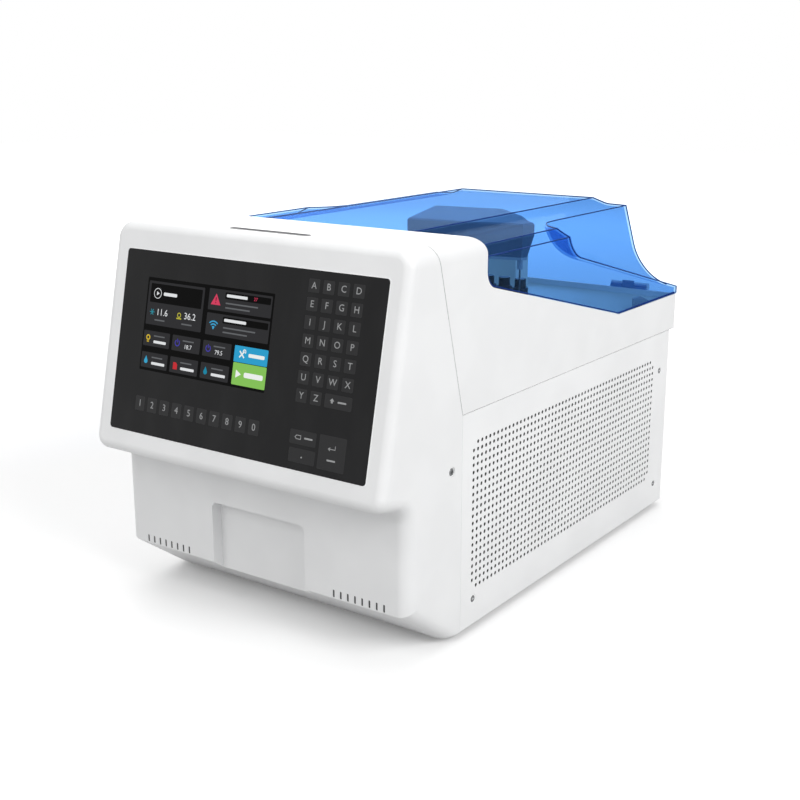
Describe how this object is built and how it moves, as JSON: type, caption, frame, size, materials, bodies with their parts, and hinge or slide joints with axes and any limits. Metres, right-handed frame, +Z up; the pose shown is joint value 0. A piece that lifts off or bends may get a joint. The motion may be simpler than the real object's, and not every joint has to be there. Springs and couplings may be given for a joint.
{
  "type": "chemistry analyzer",
  "caption": "Bench chemistry analyzer with a tilted touch panel, a blue rear-hinged lid over a sampling arm and turning disks, perforated side panels and a paper slot.",
  "frame": {"origin": "on the ground under the middle of the overall box", "axes": "+X to the right seen from the front, +Y to the back, +Z up"},
  "size_m": [0.3426, 0.589, 0.367],
  "materials": {
    "white_cover": "fine satin moulded white",
    "white_sheet": "powder-coated white",
    "black_glass": "polished, printed black behind",
    "blue_lid": "polished clear blue",
    "grey_metal": "plain grey",
    "deck_metal": "satin light grey",
    "black_metal": "black anodised look",
    "motor_black": "satin black",
    "bright_steel": "brushed",
    "circuit_board": "green laminate",
    "dark_plastic": "fine textured black",
    "pale_plastic": "smooth light grey",
    "grey_plastic": "smooth mid grey",
    "clear_plastic": "clear",
    "bottle_plastic": "dark bottle plastic",
    "rocker_plastic": "red switch cap",
    "paper": "thermal paper",
    "black_rubber": "matt"
  },
  "bodies": {
    "case": {"front_fascia": "white_cover", "upper_shell": "white_cover", "side_panel_left": "white_sheet", "side_panel_right": "white_sheet", "rear_panel": "white_sheet", "touch_glass": "black_glass", "display_module": "grey_metal", "control_boards": "circuit_board", "printer_frame": "dark_plastic", "side_screws": "bright_steel", "rear_screws": "bright_steel", "base_tray": "grey_metal", "rubber_feet": "black_rubber", "deck_posts": "grey_metal", "front_bulkhead": "grey_metal", "work_deck": "deck_metal", "disk_wells": "black_metal", "spindle_bearings": "bright_steel", "disk_motors": "motor_black", "photometer": "black_metal", "wash_well": "bright_steel", "mast_guide": "grey_metal", "lift_actuator": "motor_black", "fluid_tower": "white_cover", "detergent_bottles": "dark_plastic", "stay_brackets": "grey_metal", "hinge_leaves_fixed": "bright_steel", "lid_bumpers": "black_rubber", "main_board": "circuit_board", "power_supply": "grey_metal", "syringe_stand": "grey_metal", "syringe_barrel": "clear_plastic", "pump_housing": "dark_plastic", "valves": "dark_plastic", "fan_frame": "dark_plastic", "fan_guard": "bright_steel", "power_inlet": "dark_plastic", "data_ports": "bright_steel", "fluid_ports": "pale_plastic"},
    "lid": {"lid": "blue_lid", "hinge_leaves_lid": "bright_steel"},
    "sample_disk": {"sample_drum": "pale_plastic", "sample_cups": "clear_plastic", "reagent_bottles": "bottle_plastic", "sample_spindle": "bright_steel"},
    "cuvette_disk": {"cuvette_rotor": "black_metal", "cuvettes": "clear_plastic", "cuvette_spindle": "bright_steel"},
    "lift_carriage": {"lift_bracket": "grey_metal"},
    "arm": {"mast_shaft": "bright_steel", "arm_base": "grey_metal", "arm_cover": "grey_plastic", "probe_needle": "bright_steel"},
    "plunger": {"syringe_plunger": "bright_steel"},
    "wash_pump_rotor": {"pump_rotor": "pale_plastic"},
    "fan_wheel": {"fan_rotor": "dark_plastic"},
    "platen": {"printer_platen": "black_rubber"},
    "roll": {"paper_roll": "paper"},
    "rocker": {"power_rocker": "rocker_plastic"}
  },
  "joints": [
    {"name": "lid_hinge", "type": "hinge", "parent": "case", "child": "lid", "pos_m": [0, 0.29, 0.25585], "axis": [-1, 0, 0], "range_deg": [0, 75]},
    {"name": "sample_disk_turn", "type": "hinge", "parent": "case", "child": "sample_disk", "pos_m": [0.072, -0.0005, 0.237], "axis": [0, 0, 1], "continuous": true},
    {"name": "cuvette_disk_turn", "type": "hinge", "parent": "case", "child": "cuvette_disk", "pos_m": [-0.092, -0.0015, 0.237], "axis": [0, 0, 1], "continuous": true},
    {"name": "arm_lift", "type": "slide", "parent": "case", "child": "lift_carriage", "axis": [0, 0, 1], "range_m": [-0.03, 0]},
    {"name": "arm_turn", "type": "hinge", "parent": "lift_carriage", "child": "arm", "pos_m": [-0.02, 0.1035, 0.331], "axis": [0, 0, 1], "range_deg": [-81, 25]},
    {"name": "plunger_slide", "type": "slide", "parent": "case", "child": "plunger", "axis": [0, 0, 1], "range_m": [0, 0.03]},
    {"name": "wash_pump_spin", "type": "hinge", "parent": "case", "child": "wash_pump_rotor", "pos_m": [0.118, -0.1009, 0.036], "axis": [0, 1, 0], "continuous": true},
    {"name": "fan_spin", "type": "hinge", "parent": "case", "child": "fan_wheel", "pos_m": [0.095, 0.2585, 0.111], "axis": [0, 1, 0], "continuous": true},
    {"name": "platen_turn", "type": "hinge", "parent": "case", "child": "platen", "pos_m": [0, -0.222, 0.343], "axis": [1, 0, 0], "continuous": true},
    {"name": "roll_turn", "type": "hinge", "parent": "case", "child": "roll", "pos_m": [0, -0.1955, 0.3225], "axis": [1, 0, 0], "continuous": true},
    {"name": "rocker_tilt", "type": "hinge", "parent": "case", "child": "rocker", "pos_m": [-0.103, 0.2695, 0.058], "axis": [-1, 0, 0], "range_deg": [0, 13]}
  ]
}
